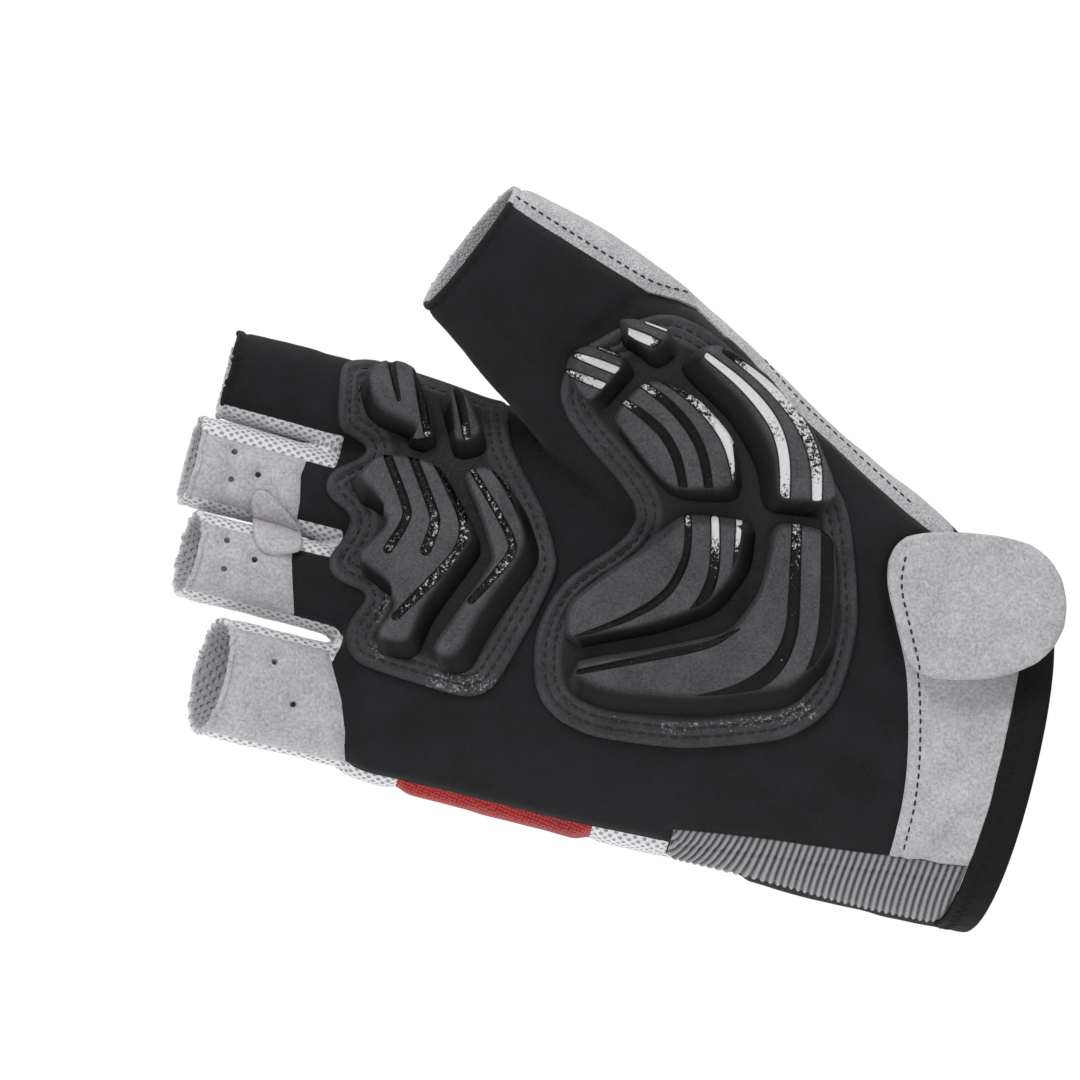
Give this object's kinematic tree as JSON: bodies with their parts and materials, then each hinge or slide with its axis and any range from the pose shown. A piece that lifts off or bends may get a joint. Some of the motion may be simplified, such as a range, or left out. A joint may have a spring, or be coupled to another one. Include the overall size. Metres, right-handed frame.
{
  "type": "cycling glove",
  "caption": "Half-finger cycling glove in its worn form, with open finger, thumb and wrist ends, raised palm pads and a suede wrist tab.",
  "frame": {"origin": "centre of the wrist opening, where the glove sits on the wearer's wrist", "axes": "+X up the forearm, out of the wrist opening; the fingers point along -X, the palm faces -Y and the thumb side is +Z"},
  "size_m": [0.1879, 0.0593, 0.1304],
  "materials": {
    "palm_suede": "matte",
    "grey_suede": "matte",
    "white_mesh": "matte",
    "towelling": "matte",
    "red_knit": "matte",
    "rib_knit": "matte",
    "neoprene": "matte",
    "binding_tape": "matte",
    "pad_sheet": "semi-gloss",
    "pad_foam": "satin"
  },
  "bodies": {
    "root": {"palm_panel": "palm_suede", "middle_finger_front": "grey_suede", "ring_finger_front": "grey_suede", "little_finger_front": "grey_suede", "index_middle_fourchette": "white_mesh", "middle_ring_fourchette": "white_mesh", "ring_little_fourchette": "white_mesh", "back_fingers": "white_mesh", "back_hand": "white_mesh", "knuckle_band": "red_knit", "thumb_back": "towelling", "cuff_front": "grey_suede", "ribbed_gusset": "rib_knit", "wrist_back": "neoprene", "wrist_binding": "binding_tape", "heel_pad_backing": "pad_sheet", "knuckle_pad_backing": "pad_sheet", "wrist_tab": "grey_suede", "pull_tab": "grey_suede", "thenar_block_1": "pad_foam", "thenar_block_2": "pad_foam", "thenar_block_3": "pad_foam", "thenar_block_4": "pad_foam", "heel_block_1": "pad_foam", "heel_block_2": "pad_foam", "knuckle_block_1": "pad_foam", "knuckle_block_2": "pad_foam", "knuckle_block_3": "pad_foam", "knuckle_block_4": "pad_foam"}
  },
  "joints": []
}
